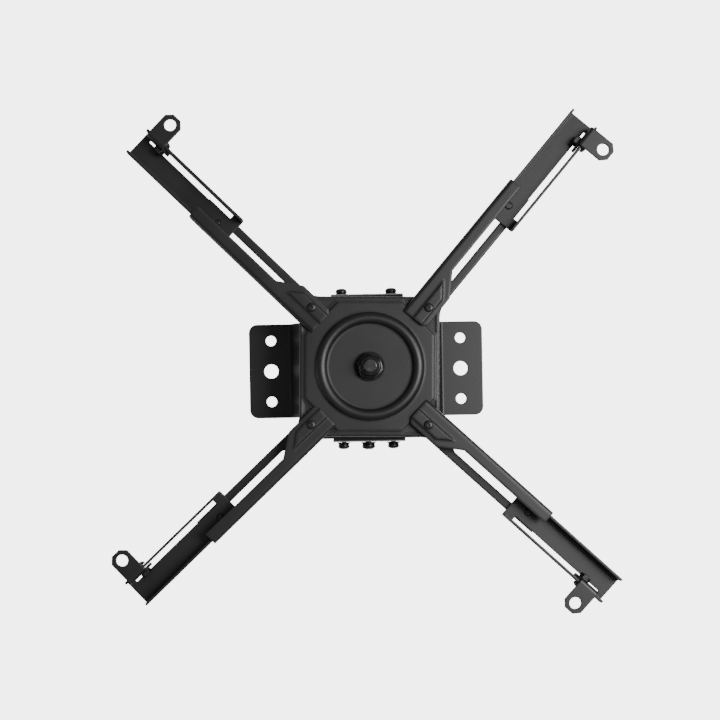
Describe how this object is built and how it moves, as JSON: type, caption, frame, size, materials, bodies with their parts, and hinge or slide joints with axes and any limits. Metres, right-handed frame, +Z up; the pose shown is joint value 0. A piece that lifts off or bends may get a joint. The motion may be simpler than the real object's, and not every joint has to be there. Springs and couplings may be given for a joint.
{
  "type": "projector ceiling mount",
  "caption": "Black steel ceiling bracket with a tilting yoke, a swivelling pressed hub and folded swing legs that telescope to slotted lugs for a projector.",
  "frame": {"origin": "middle of the ceiling face, between the ceiling plate's two wings", "axes": "+Z up to the ceiling, X along the ceiling plate's length, Y along the tilt axis"},
  "size_m": [0.3483, 0.3447, 0.0761],
  "materials": {
    "ceiling_plate": "satin black powder coat",
    "tilt_pivot_screws": "black zinc plating",
    "tilt_pivot_nuts": "black zinc plating",
    "tilt_lock_screws": "black zinc plating",
    "tilt_lock_nuts": "black zinc plating",
    "tilt_pivot_washer": "black zinc plating",
    "tilt_pivot_spring": "black zinc plating",
    "tilt_lock_washers": "black zinc plating",
    "tilt_lock_springs": "black zinc plating",
    "tilt_yoke": "satin black powder coat",
    "swivel_bolt": "dark plated thread",
    "swivel_bearing": "moulded black nylon",
    "swivel_washer": "black zinc plating",
    "swivel_nut": "black zinc plating",
    "hub_plate": "satin black powder coat",
    "hub_cover": "satin black powder coat",
    "hub_bush": "moulded black nylon",
    "pivot_sleeves": "satin black powder coat",
    "leg_right_rear": "satin black powder coat",
    "pivot_screw_right_rear": "black zinc plating",
    "pivot_nut_right_rear": "black zinc plating",
    "arm_right_rear": "satin black powder coat",
    "clamp_screw_right_rear": "black zinc plating",
    "clamp_washer_right_rear": "black zinc plating",
    "lug_right_rear": "satin black powder coat",
    "lug_screw_right_rear": "black zinc plating",
    "lug_nut_right_rear": "black zinc plating",
    "leg_right_front": "satin black powder coat",
    "pivot_screw_right_front": "black zinc plating",
    "pivot_nut_right_front": "black zinc plating",
    "arm_right_front": "satin black powder coat",
    "clamp_screw_right_front": "black zinc plating",
    "clamp_washer_right_front": "black zinc plating",
    "lug_right_front": "satin black powder coat",
    "lug_screw_right_front": "black zinc plating",
    "lug_nut_right_front": "black zinc plating",
    "leg_left_front": "satin black powder coat",
    "pivot_screw_left_front": "black zinc plating",
    "pivot_nut_left_front": "black zinc plating",
    "arm_left_front": "satin black powder coat",
    "clamp_screw_left_front": "black zinc plating",
    "clamp_washer_left_front": "black zinc plating",
    "lug_left_front": "satin black powder coat",
    "lug_screw_left_front": "black zinc plating",
    "lug_nut_left_front": "black zinc plating",
    "leg_left_rear": "satin black powder coat",
    "pivot_screw_left_rear": "black zinc plating",
    "pivot_nut_left_rear": "black zinc plating",
    "arm_left_rear": "satin black powder coat",
    "clamp_screw_left_rear": "black zinc plating",
    "clamp_washer_left_rear": "black zinc plating",
    "lug_left_rear": "satin black powder coat",
    "lug_screw_left_rear": "black zinc plating",
    "lug_nut_left_rear": "black zinc plating"
  },
  "bodies": {
    "ceiling": {"ceiling_plate": "ceiling_plate", "tilt_pivot_screws": "tilt_pivot_screws", "tilt_pivot_nuts": "tilt_pivot_nuts", "tilt_lock_screws": "tilt_lock_screws", "tilt_lock_nuts": "tilt_lock_nuts", "tilt_pivot_washer": "tilt_pivot_washer", "tilt_pivot_spring": "tilt_pivot_spring", "tilt_lock_washers": "tilt_lock_washers", "tilt_lock_springs": "tilt_lock_springs"},
    "yoke": {"tilt_yoke": "tilt_yoke", "swivel_bolt": "swivel_bolt", "swivel_bearing": "swivel_bearing", "swivel_washer": "swivel_washer", "swivel_nut": "swivel_nut"},
    "hub": {"hub_plate": "hub_plate", "hub_cover": "hub_cover", "hub_bush": "hub_bush", "pivot_sleeves": "pivot_sleeves"},
    "leg_right_rear": {"leg_right_rear": "leg_right_rear", "pivot_screw_right_rear": "pivot_screw_right_rear", "pivot_nut_right_rear": "pivot_nut_right_rear"},
    "arm_right_rear": {"arm_right_rear": "arm_right_rear", "clamp_screw_right_rear": "clamp_screw_right_rear", "clamp_washer_right_rear": "clamp_washer_right_rear"},
    "lug_right_rear": {"lug_right_rear": "lug_right_rear", "lug_screw_right_rear": "lug_screw_right_rear", "lug_nut_right_rear": "lug_nut_right_rear"},
    "leg_right_front": {"leg_right_front": "leg_right_front", "pivot_screw_right_front": "pivot_screw_right_front", "pivot_nut_right_front": "pivot_nut_right_front"},
    "arm_right_front": {"arm_right_front": "arm_right_front", "clamp_screw_right_front": "clamp_screw_right_front", "clamp_washer_right_front": "clamp_washer_right_front"},
    "lug_right_front": {"lug_right_front": "lug_right_front", "lug_screw_right_front": "lug_screw_right_front", "lug_nut_right_front": "lug_nut_right_front"},
    "leg_left_front": {"leg_left_front": "leg_left_front", "pivot_screw_left_front": "pivot_screw_left_front", "pivot_nut_left_front": "pivot_nut_left_front"},
    "arm_left_front": {"arm_left_front": "arm_left_front", "clamp_screw_left_front": "clamp_screw_left_front", "clamp_washer_left_front": "clamp_washer_left_front"},
    "lug_left_front": {"lug_left_front": "lug_left_front", "lug_screw_left_front": "lug_screw_left_front", "lug_nut_left_front": "lug_nut_left_front"},
    "leg_left_rear": {"leg_left_rear": "leg_left_rear", "pivot_screw_left_rear": "pivot_screw_left_rear", "pivot_nut_left_rear": "pivot_nut_left_rear"},
    "arm_left_rear": {"arm_left_rear": "arm_left_rear", "clamp_screw_left_rear": "clamp_screw_left_rear", "clamp_washer_left_rear": "clamp_washer_left_rear"},
    "lug_left_rear": {"lug_left_rear": "lug_left_rear", "lug_screw_left_rear": "lug_screw_left_rear", "lug_nut_left_rear": "lug_nut_left_rear"}
  },
  "joints": [
    {"name": "tilt", "type": "hinge", "parent": "ceiling", "child": "yoke", "pos_m": [0, 0, -0.024], "axis": [0, 1, 0], "range_deg": [-15, 15]},
    {"name": "swivel", "type": "hinge", "parent": "yoke", "child": "hub", "pos_m": [0, 0, -0.06], "axis": [0, 0, 1], "continuous": true},
    {"name": "swing_right_rear", "type": "hinge", "parent": "hub", "child": "leg_right_rear", "pos_m": [0.04067, -0.03907, -0.055], "axis": [0, 0, 1], "range_deg": [-22.2, 17.8]},
    {"name": "slide_right_rear", "type": "slide", "parent": "leg_right_rear", "child": "arm_right_rear", "axis": [0.6475, -0.7621, 0], "range_m": [-0.0513, 0.0037]},
    {"name": "lug_slide_right_rear", "type": "slide", "parent": "arm_right_rear", "child": "lug_right_rear", "axis": [0.6475, -0.7621, 0], "range_m": [-0.067, 0.0064]},
    {"name": "swing_right_front", "type": "hinge", "parent": "hub", "child": "leg_right_front", "pos_m": [0.03907, 0.04067, -0.055], "axis": [0, 0, 1], "range_deg": [-24.7, 15.3]},
    {"name": "slide_right_front", "type": "slide", "parent": "leg_right_front", "child": "arm_right_front", "axis": [0.7331, 0.6801, 0], "range_m": [-0.0526, 0.0024]},
    {"name": "lug_slide_right_front", "type": "slide", "parent": "arm_right_front", "child": "lug_right_front", "axis": [0.7331, 0.6801, 0], "range_m": [-0.0625, 0.0109]},
    {"name": "swing_left_front", "type": "hinge", "parent": "hub", "child": "leg_left_front", "pos_m": [-0.04067, 0.03907, -0.055], "axis": [0, 0, 1], "range_deg": [-28.6, 11.4]},
    {"name": "slide_left_front", "type": "slide", "parent": "leg_left_front", "child": "arm_left_front", "axis": [-0.7284, 0.6852, 0], "range_m": [-0.0498, 0.0052]},
    {"name": "lug_slide_left_front", "type": "slide", "parent": "arm_left_front", "child": "lug_left_front", "axis": [-0.7284, 0.6852, 0], "range_m": [-0.0665, 0.0069]},
    {"name": "swing_left_rear", "type": "hinge", "parent": "hub", "child": "leg_left_rear", "pos_m": [-0.03907, -0.04067, -0.055], "axis": [0, 0, 1], "range_deg": [-26.5, 13.5]},
    {"name": "slide_left_rear", "type": "slide", "parent": "leg_left_rear", "child": "arm_left_rear", "axis": [-0.7114, -0.7028, 0], "range_m": [-0.0484, 0.0066]},
    {"name": "lug_slide_left_rear", "type": "slide", "parent": "arm_left_rear", "child": "lug_left_rear", "axis": [-0.7114, -0.7028, 0], "range_m": [-0.0666, 0.0067]}
  ]
}
